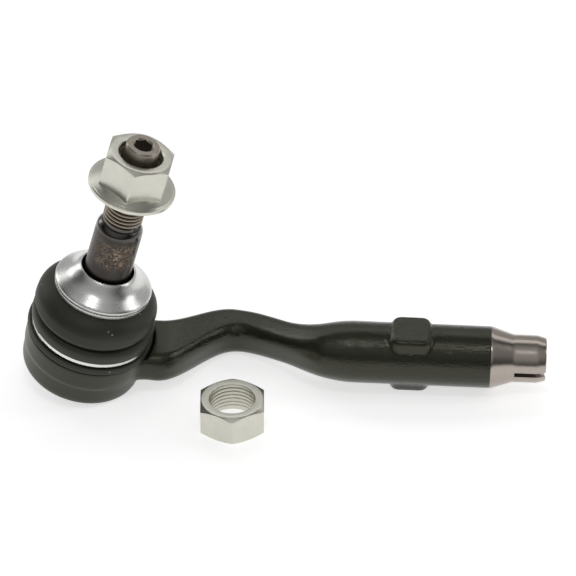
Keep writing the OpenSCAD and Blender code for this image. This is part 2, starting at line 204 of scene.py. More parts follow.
class TieRodSettings(bpy.types.PropertyGroup):
    """All the settings of the tie rod end."""
    lie: PointerProperty(type=LieSettings)
    forging: PointerProperty(type=ForgingSettings)
    collet: PointerProperty(type=ColletSettings)
    thread: PointerProperty(type=ThreadSettings)
    stud: PointerProperty(type=StudSettings)
    boot: PointerProperty(type=BootSettings)
    collar: PointerProperty(type=CollarSettings)
    nuts: PointerProperty(type=NutSettings)
    studio: PointerProperty(type=StudioSettings)


def settings():
    return bpy.context.scene.tie_rod


# ---- places: each is a matrix from a piece's own millimetres to the row's millimetres ------

def turned_by(axis, radians):
    return Matrix.Rotation(radians, 4, axis)


def rod_place():
    """X along the rod, Z up through the pads, origin below the ball's centre."""
    lie = settings().lie
    lying = turned_by("Y", lie.pitch) @ turned_by("X", lie.roll)
    return lying @ Matrix.Translation((0, 0, -lie.rod_drop))


def lathe_rod_place():
    """The rod's own axis as Z, for what is turned on it."""
    return rod_place() @ turned_by("Y", math.radians(90))


def socket_place():
    lie = settings().lie
    return turned_by("Y", lie.pitch) @ turned_by("X", lie.roll) @ turned_by("Y", lie.lean)


def stud_place(height=0.0):
    lie = settings().lie
    swing = turned_by("Y", lie.along) @ turned_by("X", -lie.across)
    return socket_place() @ swing @ Matrix.Translation((0, 0, height))


# ---- shader maths ------------------------------------------------------------------------

class Value:
    """A number that varies over a surface. Arithmetic on it adds Math nodes."""

    def __init__(self, finish, socket):
        self.finish, self.socket = finish, socket

    def math(self, operation, *others, clamp=False):
        values = dict(enumerate((self, *others)))
        return self.finish.node("ShaderNodeMath", {"operation": operation, "use_clamp": clamp}, values)

    def __add__(self, other):
        return self.math("ADD", other)

    def __mul__(self, other):
        return self.math("MULTIPLY", other)

    def __sub__(self, other):
        return self.math("SUBTRACT", other)

    def __rsub__(self, other):
        return (self * -1.0) + other

    __radd__, __rmul__ = __add__, __mul__

    def step(self, low, high):
        """0 below low, 1 above high and a smooth rise between."""
        return self.finish.node("ShaderNodeMapRange", {"interpolation_type": "SMOOTHSTEP"},
                                {"Value": self, "From Min": low, "From Max": high})


class Finish:
    """A procedural material, made node by node."""

    def __init__(self, name):
        self.material = bpy.data.materials.new(name)
        self.material.use_nodes = True
        self.tree = self.material.node_tree
        self.surface = self.tree.nodes["Principled BSDF"]
        self.point = self.node("ShaderNodeTexCoord", {}, {}, output="Object")

    def put(self, socket, value):
        if isinstance(value, Value):
            self.tree.links.new(value.socket, socket)
        elif isinstance(value, bpy.types.NodeSocket):
            self.tree.links.new(value, socket)
        elif socket.type == "RGBA" and len(value) == 3:
            socket.default_value = (*value, 1.0)
        else:
            socket.default_value = value

    def node(self, kind, options, values, output=0):
        """Adds a node: its options are set first, then its sockets' values or links."""
        node = self.tree.nodes.new(kind)
        for key, value in options.items():
            setattr(node, key, value)
        for key, value in values.items():
            self.put(node.inputs[key], value)
        return Value(self, node.outputs[output])

    def local(self, place):
        """The point in a piece's own frame, in millimetres."""
        back = place.inverted()
        return self.node("ShaderNodeMapping", {"vector_type": "POINT"}, {
            "Vector": self.point, "Scale": (1 / MM,) * 3,
            "Location": back.to_translation(), "Rotation": back.to_euler()})

    def stretched(self, point, scale):
        """The point scaled by a different amount along each axis."""
        return self.node("ShaderNodeVectorMath", {"operation": "MULTIPLY"}, {0: point, 1: scale})

    def parts(self, point):
        """x, y, z and the distance from the Z axis."""
        node = self.tree.nodes.new("ShaderNodeSeparateXYZ")
        self.put(node.inputs[0], point)
        x, y, z = (Value(self, out) for out in node.outputs)
        return x, y, z, (x * x + y * y).math("SQRT")

    def joined(self, x, y, z):
        return self.node("ShaderNodeCombineXYZ", {}, {0: x, 1: y, 2: z})

    def noise(self, point, scale, detail=3.0, roughness=0.55, distortion=0.0):
        return self.node("ShaderNodeTexNoise", {"normalize": True}, {
            "Vector": point, "Scale": scale, "Detail": detail, "Roughness": roughness,
            "Distortion": distortion})

    def cells(self, point, scale, feature="F1", randomness=1.0):
        return self.node("ShaderNodeTexVoronoi", {"feature": feature}, {
            "Vector": point, "Scale": scale, "Randomness": randomness})

    def mix(self, factor, first, second):
        """A colour between two colours."""
        node = self.tree.nodes.new("ShaderNodeMix")
        node.data_type = "RGBA"
        self.put(node.inputs["Factor"], factor)
        self.put(node.inputs[6], first)
        self.put(node.inputs[7], second)
        return Value(self, node.outputs[2])

    def bump(self, height, strength, distance, under=None):
        """A normal bent by a height; distance is in millimetres."""
        values = {"Height": height, "Strength": strength, "Distance": distance * MM}
        if under is not None:
            values["Normal"] = under
        return self.node("ShaderNodeBump", {}, values)

    def done(self, **values):
        """Sets the surface's sockets: an underscore in a name stands for a space."""
        for key, value in values.items():
            self.put(self.surface.inputs[key.replace("_", " ")], value)
        return self.material


def shades(tone, low, high):
    """A darker and a lighter shade of a colour."""
    return [part * low for part in tone], [min(1.0, part * high) for part in tone]


def black_coat():
    """Glossy black coat with a cast grain that breaks up its highlights; bare steel at the tip."""
    sizes = settings().forging
    finish = Finish("black_coat")
    rod = finish.local(lathe_rod_place())
    _, _, z, r = finish.parts(rod)
    grain = finish.noise(rod, 1.45, 2.0, 0.62)
    pits = finish.cells(rod, 1.9, "SMOOTH_F1")
    broad = finish.noise(rod, 0.09, 2.0)
    fine = finish.noise(rod, 4.5, 2.0)
    # the socket, up to this far along the rod, is machined and less glossy than the arm
    cast = z.step(24.0, 34.0)
    paint_end = sizes.reach - sizes.bare_length
    ragged = z + (finish.noise(rod, 0.55, 3.0) - 0.5) * 1.3
    bare = ragged.step(paint_end - 0.30, paint_end - 0.12) * r.step(8.0, 8.2)
    lines = finish.noise(finish.stretched(rod, (0.05, 0.05, 6.0)), 1.0, 2.0)
    height = (grain * 0.65 + pits * 0.35) * cast * (1 - bare)
    normal = finish.bump(fine, 0.10, 0.05, finish.bump(height, 1.0, 0.20))
    base = finish.mix(bare, finish.mix(broad, *shades(sizes.coat, 0.75, 1.5)), sizes.bare)
    coat_rough = 0.08 + fine * 0.05 + (1 - cast) * 0.25
    rough = coat_rough * (1 - bare) + bare * (0.28 + lines * 0.1)
    return finish.done(Base_Color=base, Roughness=rough, Metallic=bare, Normal=normal, IOR=1.52,
                       Specular_Tint=OLIVE)


def turned_steel(name, place, base, rough, groove, rings=7.0, across=False):
    """Bare metal with fine turning marks round its axis."""
    finish = Finish(name)
    point = finish.local(place)
    _, _, z, r = finish.parts(point)
    along = finish.joined(0.0, 0.0, r if across else z)
    mark = finish.noise(along, rings, 3.0, 0.7)
    broad = finish.noise(along, rings * 0.16, 2.0)
    cloud = finish.noise(point, 0.35, 3.0)
    tint = finish.mix(cloud * 0.6 + broad * 0.4, *shades(base, 0.82, 1.1))
    rough = rough + (mark - 0.5) * 0.16 + (cloud - 0.5) * 0.1
    return finish.done(Base_Color=tint, Metallic=1.0, Roughness=rough,
                       Normal=finish.bump(mark, 0.5, groove))


def dark_stud_steel():
    """Phosphated steel, oily at the shoulder, with a copper-brown stain part way up the shank and painted
    shade in the roots of its thread.
    """
    sizes = settings().stud
    shoulder, point_start = sizes.shoulder, sizes.top - 6.1
    finish = Finish("dark_stud_steel")
    point = finish.local(stud_place())
    x, y, z, r = finish.parts(point)
    cloud = finish.noise(point, 0.42, 4.0, 0.65)
    speck = finish.noise(point, 1.9, 4.0, 0.7)
    belt = z.step(33.5, 37.5) * (1 - z.step(43.5, 46.5))
    facing = (x * 0.35 - y).step(1.5, 8.0)
    stain = belt * (speck + cloud * 0.55).step(0.72, 1.0) * (facing * 0.8 + 0.2)
    threaded = z.step(shoulder + 1.0, shoulder + 2.0)
    point_end = z.step(point_start, point_start + 0.4)
    oily = z.step(shoulder - 3.2, shoulder - 1.8) * (1 - threaded)
    crests = finish.mix(speck, (0.34, 0.295, 0.24), (0.50, 0.45, 0.38))
    # painted shade: the roots of the thread are painted dark, and the colour rises to the lighter crests
    ridges_painted_shade = finish.mix(r.step(6.25, 6.85), (0.045, 0.036, 0.028), crests)
    end = finish.mix(cloud, (0.24, 0.212, 0.178), (0.42, 0.38, 0.325))
    base = finish.mix(stain, finish.mix(cloud, *shades(sizes.steel, 0.65, 1.7)), sizes.stain)
    base = finish.mix(point_end, finish.mix(threaded, base, ridges_painted_shade), end)
    rough = 0.32 + cloud * 0.2 + stain * 0.12 - oily * 0.22 - point_end * 0.1
    lines = finish.noise(finish.joined(0.0, 0.0, z), 6.0, 2.0)
    return finish.done(Base_Color=base, Metallic=0.92, Roughness=rough,
                       Normal=finish.bump(speck * 0.6 + lines * 0.4, 0.35, 0.06),
                       Coat_Weight=oily * 0.9 + (1 - threaded) * 0.25, Coat_Roughness=0.08)


def black_rubber():
    """Matt moulded rubber, a little dusty."""
    finish = Finish("black_rubber")
    point = finish.local(socket_place())
    cloud = finish.noise(point, 0.16, 4.0, 0.6)
    grit = finish.noise(point, 5.0, 2.0)
    dust = (finish.cells(point, 0.20) * -1.0).step(-0.075, -0.05)
    smear = finish.noise(finish.stretched(point, (0.35, 0.35, 1.0)), 0.9, 5.0, 0.75).step(0.56, 0.78)
    base = finish.mix(cloud, *shades(settings().boot.rubber, 0.8, 1.7))
    base = finish.mix(smear * 0.10, base, (0.16, 0.16, 0.15))
    base = finish.mix(dust * 0.55, base, (0.42, 0.41, 0.39))
    return finish.done(Base_Color=base, Roughness=0.42 + cloud * 0.16 + smear * 0.08, IOR=1.5,
                       Normal=finish.bump(grit + cloud * 2.0, 0.16, 0.06), Specular_Tint=OLIVE)


def zinc_plate(name, place):
    """Satin zinc plate with soft blotches and small handling marks."""
    finish = Finish(name)
    point = finish.local(place)
    _, _, z, r = finish.parts(point)
    cloud = finish.noise(point, 0.22, 4.0, 0.6)
    frost = finish.noise(point, 3.2, 3.0, 0.7)
    nick = (finish.cells(finish.stretched(point, (0.5, 0.5, 1.0)), 0.5) * -1.0).step(-0.07, -0.03)
    rings = finish.noise(finish.joined(r, 0.0, z * 0.25), 3.0, 2.0)
    base = finish.mix(cloud, *shades(settings().nuts.zinc, 0.88, 1.12))
    base = finish.mix(nick * 0.6, base, (0.2, 0.19, 0.17))
    return finish.done(Base_Color=base, Metallic=0.96, Roughness=0.20 + frost * 0.10 + cloud * 0.08,
                       Normal=finish.bump(frost * 0.6 + rings * 0.5 - nick * 0.8, 0.22, 0.05))


def moulded_plastic():
    """Natural white bearing plastic with faint moulding marks."""
    finish = Finish("bearing_plastic")
    point = finish.local(socket_place())
    flow = finish.noise(point, 0.3, 3.0)
    fine = finish.noise(point, 3.0, 2.0)
    base = finish.mix(flow, (0.72, 0.70, 0.62), (0.84, 0.82, 0.75))
    return finish.done(Base_Color=base, Roughness=0.32 + fine * 0.15, Normal=finish.bump(fine, 0.2, 0.05))


def floor_finish():
    """A pale floor that gives a little light of its own, so that shadows on it stay faint."""
    studio = settings().studio
    finish = Finish("pale_floor")
    tone = finish.mix(finish.noise(finish.point, 6.0, 2.0), *shades(studio.floor, 0.985, 1.0))
    return finish.done(Base_Color=tone, Roughness=0.7, Emission_Color=(1.0, 1.0, 1.0),
                       Emission_Strength=studio.glow)


# ---- mesh making -------------------------------------------------------------------------

def soften(points, steps=5):
    """A profile whose corners are rounded: each point is (r, z) or (r, z, how far to round)."""
    out = []
    for i, point in enumerate(points):
        here = Vector(point[:2])
        if len(point) < 3 or i in (0, len(points) - 1):
            out.append(tuple(here))
            continue
        before, after = Vector(points[i - 1][:2]), Vector(points[i + 1][:2])
        cut = min(point[2], (before - here).length * 0.49, (after - here).length * 0.49)
        start = here + (before - here).normalized() * cut
        end = here + (after - here).normalized() * cut
        for k in range(steps + 1):
            t = k / steps
            out.append(tuple(start * (1 - t) ** 2 + here * (2 * t * (1 - t)) + end * t ** 2))
    return out


def dense(profile, step):
    """The profile with points added so that none are further apart than step."""
    out = [profile[0]]
    for a, b in zip(profile, profile[1:]):
        count = max(1, math.ceil(math.dist(a, b) / step))
        out += [(a[0] + (b[0] - a[0]) * k / count, a[1] + (b[1] - a[1]) * k / count)
                for k in range(1, count + 1)]
    return out


def turned(profile, segments=160, shape=None):
    """A surface turned from a profile that runs up the outside. It closes on the axis or on its
    own start. shape(angle, r, z) may change a point's radius."""
    ring = [2 * math.pi * k / segments for k in range(segments)]
    closed = math.dist(profile[0], profile[-1]) < 1e-6
    rows = profile[:-1] if closed else profile
    verts, faces, index = [], [], []
    for r, z in rows:
        if r < 1e-6:
            index.append([len(verts)] * segments)
            verts.append((0.0, 0.0, z))
            continue
        index.append([len(verts) + k for k in range(segments)])
        for a in ring:
            s = shape(a, r, z) if shape else r
            verts.append((s * math.cos(a), s * math.sin(a), z))
    pairs = list(zip(index, index[1:])) + ([(index[-1], index[0])] if closed else [])
    for low, high in pairs:
        for k in range(segments):
            j = (k + 1) % segments
            corner = [low[k], low[j], high[j], high[k]]
            face = [v for i, v in enumerate(corner) if v not in corner[:i]]
            if len(face) > 2:
                faces.append(face)
    return verts, faces


def lofted(rings):
    """A closed surface through rings of equally many points, capped at both ends."""
    n = len(rings[0])
    verts = [p for ring in rings for p in ring]
    faces = [[k * n + i, k * n + (i + 1) % n, (k + 1) * n + (i + 1) % n, (k + 1) * n + i]
             for k in range(len(rings) - 1) for i in range(n)]
    faces += [list(range(n))[::-1], [(len(rings) - 1) * n + i for i in range(n)]]
    return verts, faces


def make(name, shapes, place, material):
    """One object from a list of (verts, faces) in a place's own millimetres."""
    verts, faces = [], []
    for v, f in shapes:
        base = len(verts)
        verts += v
        faces += [[i + base for i in face] for face in f]
    mesh = bpy.data.meshes.new(name)
    mesh.from_pydata(verts, [], faces)
    mesh.transform(Matrix.Scale(MM, 4) @ place)
    return dress(name, mesh, material)


def dress(name, mesh, material):
    """Merges doubles, turns faces outwards, smooths the shading and gives the mesh its finish."""
    work = bmesh.new()
    work.from_mesh(mesh)
    bmesh.ops.remove_doubles(work, verts=work.verts, dist=1e-7)
    bmesh.ops.recalc_face_normals(work, faces=work.faces)
    work.to_mesh(mesh)
    work.free()
    mesh.name = name
    mesh.shade_smooth()
    mesh.set_sharp_from_angle(angle=SHARP_ANGLE)
    mesh.materials.clear()
    mesh.materials.append(material)
    thing = bpy.data.objects.new(name, mesh)
    bpy.context.scene.collection.objects.link(thing)
    return thing


def evaluated(thing):
    """The object's mesh with its modifiers applied; the object itself is removed."""
    graph = bpy.context.evaluated_depsgraph_get()
    mesh = bpy.data.meshes.new_from_object(thing.evaluated_get(graph), depsgraph=graph)
    bpy.data.objects.remove(thing)
    return mesh


def cut(thing, tools):
    """The object with each tool taken away from it."""
    name, material = thing.name, thing.data.materials[0]
    for tool in tools:
        step = thing.modifiers.new("cut", "BOOLEAN")
        step.operation, step.solver, step.object = "DIFFERENCE", "EXACT", tool
    mesh = evaluated(thing)
    for tool in tools:
        bpy.data.objects.remove(tool)
    return dress(name, mesh, material)


def joined(name, things):
    """Several objects as one mesh object, with the first one's finish."""
    work = bmesh.new()
    for thing in things:
        work.from_mesh(thing.data)
    mesh = bpy.data.meshes.new(name)
    work.to_mesh(mesh)
    work.free()
    material = things[0].data.materials[0]
    for thing in things:
        bpy.data.objects.remove(thing)
    return dress(name, mesh, material)


def settle(piece, body, slot, *nodes):
    """Rides a piece on its body and hides the CAD nodes that it stands for; its slot is not used."""
    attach(piece, body)
    if nodes:
        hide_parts(*nodes)


# ---- geometry nodes: sweeps along a helix or an arc ----------------------------------------

class Tree:
    """A Geometry Nodes tree with named inputs, built like a Finish."""

    def __init__(self, name, inputs):
        self.tree = bpy.data.node_groups.new(name, "GeometryNodeTree")
        for key in inputs:
            kind = "NodeSocketMaterial" if key == "Material" else "NodeSocketFloat"
            self.tree.interface.new_socket(key, in_out="INPUT", socket_type=kind)
        self.tree.interface.new_socket("Geometry", in_out="OUTPUT", socket_type="NodeSocketGeometry")
        self.given = self.tree.nodes.new("NodeGroupInput").outputs

    def node(self, kind, options, values, output=0):
        node = self.tree.nodes.new(kind)
        for key, value in options.items():
            setattr(node, key, value)
        for key, value in values.items():
            if isinstance(value, bpy.types.NodeSocket):
                self.tree.links.new(value, node.inputs[key])
            else:
                node.inputs[key].default_value = value
        return node.outputs[output]

    def maths(self, operation, *values):
        return self.node("ShaderNodeMath", {"operation": operation}, dict(enumerate(values)))

    def close(self, geometry):
        real = self.node("GeometryNodeRealizeInstances", {}, {"Geometry": geometry})
        painted = self.node("GeometryNodeSetMaterial", {}, {
            "Geometry": real, "Material": self.given["Material"]})
        self.tree.links.new(painted, self.tree.nodes.new("NodeGroupOutput").inputs[0])
        return self.tree

    def spiral(self, resolution):
        """A helix round the Z axis."""
        given = self.given
        return self.node("GeometryNodeCurveSpiral", {}, {
            "Resolution": resolution, "Rotations": given["Turns"], "Start Radius": given["Radius"],
            "End Radius": given["Radius"], "Height": self.maths("MULTIPLY", given["Pitch"], given["Turns"])})

    def wire(self, path, steps):
        """Flat wire along a path. Its corners are rounded in a number of steps."""
        section = self.node("GeometryNodeCurvePrimitiveQuadrilateral", {"mode": "RECTANGLE"}, {
            "Width": self.given["Width"], "Height": self.given["Height"]})
        section = self.node("GeometryNodeFilletCurve", {"mode": "POLY"}, {
            "Curve": section, "Radius": self.given["Corner"], "Count": steps})
        upright = self.node("GeometryNodeSetCurveNormal", {"mode": "Z_UP"}, {"Curve": path})
        return self.close(self.node("GeometryNodeCurveToMesh", {}, {
            "Curve": upright, "Profile Curve": section, "Fill Caps": True}))

    def fading_sweep(self, path, profile, fade):
        """The profile swept along the path, thinned to nothing over a share of it at each end."""
        share = self.node("GeometryNodeSplineParameter", {}, {})
        from_start = self.maths("DIVIDE", share, fade)
        from_end = self.maths("DIVIDE", self.maths("SUBTRACT", 1.0, share), fade)
        scale = self.maths("MINIMUM", 1.0, self.maths("MINIMUM", from_start, from_end))
        scale = self.maths("MAXIMUM", scale, 0.02)
        sized = self.node("GeometryNodeSetCurveRadius", {}, {"Curve": path, "Radius": scale})
        upright = self.node("GeometryNodeSetCurveNormal", {"mode": "Z_UP"}, {"Curve": sized})
        return self.node("GeometryNodeCurveToMesh", {}, {
            "Curve": upright, "Profile Curve": profile, "Scale": scale, "Fill Caps": True})


def thread_tree():
    """A ridge that winds round the Z axis. Turn is the profile's turn: it points in or out."""
    t = Tree("thread_ridge", ("Radius", "Pitch", "Turns", "Depth", "Root", "Crest", "Turn", "Material"))
    given = t.given
    section = t.node("GeometryNodeCurvePrimitiveQuadrilateral", {"mode": "TRAPEZOID"}, {
        "Bottom Width": given["Root"], "Top Width": given["Crest"], "Height": given["Depth"], "Offset": 0.0})
    turn = t.node("ShaderNodeCombineXYZ", {}, {"Z": given["Turn"]})
    section = t.node("GeometryNodeTransform", {}, {"Geometry": section, "Rotation": turn})
    return t.close(t.fading_sweep(t.spiral(56), section, t.maths("DIVIDE", 0.6, given["Turns"])))


def ring_tree():
    """An open ring of flat wire round the Z axis."""
    t = Tree("open_ring", ("Radius", "Gap", "Width", "Height", "Corner", "Material"))
    sweep = t.maths("SUBTRACT", 2 * math.pi, t.given["Gap"])
    return t.wire(t.node("GeometryNodeCurveArc", {}, {
        "Resolution": 220, "Radius": t.given["Radius"], "Start Angle": 0.0, "Sweep Angle": sweep}), 4)


def coil_tree():
    """A flat wire that winds round the Z axis, turn beside turn."""
    t = Tree("wire_coil", ("Radius", "Turns", "Pitch", "Width", "Height", "Corner", "Material"))
    return t.wire(t.spiral(180), 3)


def grown(name, tree, values, place, material):
    """A plain mesh object from a Geometry Nodes tree."""
    thing = bpy.data.objects.new(name, bpy.data.meshes.new(name))
    bpy.context.scene.collection.objects.link(thing)
    step = thing.modifiers.new("grow", "NODES")
    step.node_group = tree
    sockets = {item.name: item.identifier for item in tree.interface.items_tree if item.in_out == "INPUT"}
    for key, value in {**values, "Material": material}.items():
        step[sockets[key]] = value
    mesh = evaluated(thing)
    if not mesh.vertices:
        raise RuntimeError(f"{name} came out empty")
    mesh.transform(Matrix.Scale(MM, 4) @ place)
    return dress(name, mesh, material)


def thread_ridge(name, root_radius, low, high, outwards, place, material, depth=None):
    """The ridge of a thread between two heights, standing on a wall of root_radius."""
    sizes = settings().thread
    sign = 1 if outwards else -1
    turns = (high - low) / sizes.pitch
    sunk = 0.06
    depth = depth or sizes.depth
    middle = root_radius + sign * (depth / 2 - sunk)
    values = {"Radius": middle, "Pitch": sizes.pitch, "Turns": turns, "Depth": depth,
              "Root": sizes.pitch * 0.84, "Crest": sizes.pitch * 0.16, "Turn": sign * math.pi / 2}
    return grown(name, thread_tree(), values, place @ Matrix.Translation((0, 0, low)), material)


# ---- forging -----------------------------------------------------------------------------

def ease(t):
    u = min(1.0, max(0.0, t))
    return u * u * (3 - 2 * u)


def between(a, b, x, low, high):
    return a + (b - a) * ease((x - low) / (high - low))


# where the arm starts, bends and turns round, along the rod from the ball's centre
ARM_START, BEND_START, BEND_END = 12.0, 24.5, 82.5
WAIST_END, ROUND_START, ROD_START = 54.0, 67.5, 92.5
ARM_CORNER = 4.5
ARM_ROOT_Z = -3.5
# length, width, height below the pad's face and corner radius of a pad's levels, from its foot up
PAD_LEVELS = ((16.2, 16.0, 5.0, 3.2), (15.4, 15.4, 3.8, 3.1), (14.4, 14.8, 2.6, 3.0), (13.6, 14.2, 1.4, 2.8),
              (13.1, 13.6, 0.6, 2.7), (12.4, 12.9, 0.1, 2.4), (11.2, 11.8, 0.0, 2.0))


def rounded(half, tall, corner, count):
    """Points round a rectangle with rounded corners, given its half sizes."""
    points = []
    for k in range(count):
        a = 2 * math.pi * (k + 0.5) / count
        c, s = math.cos(a), math.sin(a)
        points.append((math.copysign(half - corner, c) + corner * c,
                       math.copysign(tall - corner, s) + corner * s))
    return points


def arm_ring(sizes, x):
    """One ring of the arm: a rounded square that turns into a circle towards the rod."""
    if x < sizes.arm_crest:
        span = x, BEND_START, sizes.arm_crest
        y, z = between(0.0, sizes.arm_out, *span), between(ARM_ROOT_Z, -sizes.arm_dip, *span)
    else:
        span = x, sizes.arm_crest, BEND_END
        y, z = between(sizes.arm_out, 0.0, *span), between(-sizes.arm_dip, 0.0, *span)
    if x < WAIST_END:
        span = x, BEND_START, WAIST_END
        half = between(sizes.arm_root, sizes.arm_waist, *span) / 2
        tall = between(sizes.arm_root_height, sizes.arm_waist, *span) / 2
    else:
        half = tall = between(sizes.arm_waist, 2 * sizes.rod_radius, x, ROUND_START, ROD_START) / 2
    corner = min(between(ARM_CORNER, sizes.rod_radius, x, ROUND_START, ROD_START), tall - 0.01)
    return [(x, y + u, z + v) for u, v in rounded(half, tall, corner, 72)]


def pad_shape(sizes, side):
    """One wrench pad: a rounded, drafted block on the rod."""
    return lofted([[(sizes.pad_middle + u, v * side, (sizes.pad_height - below) * side)
                    for u, v in rounded(length / 2, width / 2, corner, 64)]
                   for length, width, below, corner in PAD_LEVELS])


def socket_profile(sizes):
    """The socket's section: up the outside from its foot, and down the cavity to the cap's seat."""
    foot, band, neck = sizes.socket_radius, -sizes.band_low, sizes.neck_radius
    rim, cavity, cap = foot + sizes.rim_flare, sizes.cavity_radius, sizes.cap_radius
    top, bottom = 7.6, -sizes.socket_depth
    seat = bottom + 2.8
    return soften([
        (cap - 1.6, bottom), (19.2, bottom, 0.4), (20.5, bottom + 0.8, 0.5), (foot, bottom + 2.2, 1.0),
        (rim - 0.5, band - 0.4, 0.3), (rim - 0.1, band + 0.3, 0.3), (rim, 0.0, 0.4), (rim - 0.5, 0.4, 0.2),
        (neck, 0.4), (neck, top - 1.5), (neck + 0.5, top - 1.1), (neck + 0.5, top - 0.4), (neck, top),
        (12.7, top), (11.75, 6.8), (12.1, 6.45), (cavity, 3.0), (cavity, seat), (cap, seat),
        (cap, bottom + 1.15), (cap - 2.2, bottom + 1.1), (cap - 1.6, bottom)])


def forging_mesh(material):
    """The arm, socket, rod and pads, melted together and smoothed as a forging is."""
    sizes = settings().forging
    here = Matrix.Identity(4)
    socket = rod_place().inverted() @ socket_place()
    cup, cup_faces = turned(socket_profile(sizes), 220)
    cup = [tuple(socket @ Vector(v)) for v in cup]
    end = sizes.reach - sizes.bare_length
    hole = sizes.reach - settings().collet.bore_depth - 3.7
    rod, rod_faces = turned([(0.0, ROD_START), (sizes.rod_radius, ROD_START), (sizes.rod_radius, end),
                             (8.0, end), (8.0, hole + 1.5), (0.0, hole)], 160)
    rod = [(z, x, y) for x, y, z in rod]
    # the arm starts inside the socket's wall, so it is cut back where the cavity and the boot are
    rings = int(ROD_START + 3 - ARM_START) + 1
    arm = make("arm_raw", [lofted([arm_ring(sizes, ARM_START + k) for k in range(rings)])], here, material)
    room, wide = sizes.cavity_radius + 1.5, settings().boot.foot_radius + 0.5
    hollow = turned([(0.0, -30.0), (room, -30.0), (room, 0.4), (wide, 0.4), (wide, 30.0), (0.0, 30.0)], 128)
    arm = cut(arm, [make("hollow", [hollow], socket, material)])
    shapes = [(cup, cup_faces), (rod, rod_faces), pad_shape(sizes, 1), pad_shape(sizes, -1)]
    raw = joined("forging_body", [make("forging_raw", shapes, here, material), arm])
    melt = raw.modifiers.new("melt", "REMESH")
    melt.mode, melt.voxel_size, melt.use_smooth_shade = "VOXEL", sizes.voxel * MM, True
    mesh = evaluated(raw)
    smooth_forging(mesh, sizes, socket)
    mesh.transform(Matrix.Scale(MM, 4) @ rod_place() @ Matrix.Scale(1 / MM, 4))
    thing = dress("forging_body", mesh, material)
    thing.data.set_sharp_from_angle(angle=math.radians(60))
    return thing


def smooth_forging(mesh, sizes, socket):
    """Relaxes the mesh: gently all over, and strongly where the arm grows out of the socket."""
    count = len(mesh.vertices)
    points = np.empty(count * 3)
    mesh.vertices.foreach_get("co", points)
    points = points.reshape(-1, 3) / MM
    edges = np.empty(len(mesh.edges) * 2, int)
    mesh.edges.foreach_get("vertices", edges)
    edges = edges.reshape(-1, 2)
    links = np.bincount(edges.ravel(), minlength=count)[:, None]
    back = np.array(socket.inverted())
    local = points @ back[:3, :3].T + back[:3, 3]
    radius = np.hypot(local[:, 0], local[:, 1])
    near_root = (radius > 20.6) & (radius < 27.5) & (local[:, 0] > 8) & (local[:, 2] < -0.3)
    edge = np.clip((radius - 20.6) / 1.2, 0, 1) * np.clip((27.5 - radius) / 2.0, 0, 1)
    strong = np.where(near_root, edge, 0.0)[:, None]
    on_pad = (np.abs(points[:, 0] - sizes.pad_middle) < 11) & (np.abs(points[:, 2]) > 6.0)
    medium = np.where(on_pad, 0.7, 0.0)[:, None]
    for turn in range(44):
        weight = np.maximum(strong, 0.5 if turn < 5 else 0.0)
        if turn < 9:
            weight = np.maximum(weight, medium)
        total = np.zeros_like(points)
        for axis in range(3):
            total[:, axis] = (np.bincount(edges[:, 0], points[edges[:, 1], axis], count)
                              + np.bincount(edges[:, 1], points[edges[:, 0], axis], count))
        points += (total / links - points) * weight * 0.6
    mesh.vertices.foreach_set("co", (points * MM).ravel())


class TIEROD_OT_forging(bpy.types.Operator):
    """Makes the coated forging and its bare, slotted end"""
    bl_idname = "tierod.forging"
    bl_label = "Forging"

    def execute(self, context):
        settle(forging_mesh(black_coat()), "housing", "black_coat", "forged_body")
        forging, collet = settings().forging, settings().collet
        place = lathe_rod_place()
        steel = turned_steel("bare_steel", place, forging.bare, 0.22, 0.008)
        tip, start, outer = forging.reach, forging.reach - forging.bare_length, collet.radius
        waist, deep, wall = tip - collet.length, tip - collet.bore_depth, settings().thread.major + 0.15
        profile = soften([
            (0.0, deep - 3.2), (wall + 0.6, deep - 3.2), (wall + 0.6, start - 0.4),
            (forging.rod_radius - 0.04, start - 0.4), (forging.rod_radius - 0.02, start + 0.1, 0.15),
            (outer + 0.02, waist, 0.4), (outer, tip - 3.0, 0.6), (outer - 0.75, tip - 0.25, 0.25),
            (outer - 0.95, tip, 0.15), (wall + 0.1, tip, 0.1), (wall, tip - 0.3),
            (wall, deep), (0.0, deep - 2.6)])
        half = collet.slot_width / 2
        slot = box_shape((-half, -20, waist + 0.4), (half, 20, tip + 5))
        end = make("slotted_end", [turned(dense(profile, 1.2), 200)], place, steel)
        end = cut(end, [make("slot", [slot], place, steel)])
        ridge = thread_ridge("rod_ridge", wall, deep + 1, tip - 1.2, False, place, steel)
        ridge = cut(ridge, [make("slot", [slot], place, steel)])
        settle(joined("slotted_end", [end, ridge]), "housing", "black_coat")
        return {"FINISHED"}


def box_shape(low, high):
    corners = [(x, y, z) for z in (low[2], high[2]) for x, y in
               ((low[0], low[1]), (high[0], low[1]), (high[0], high[1]), (low[0], high[1]))]
    return corners, [[3, 2, 1, 0], [4, 5, 6, 7], [0, 1, 5, 4], [1, 2, 6, 5], [2, 3, 7, 6], [3, 0, 4, 7]]


# ---- stud --------------------------------------------------------------------------------

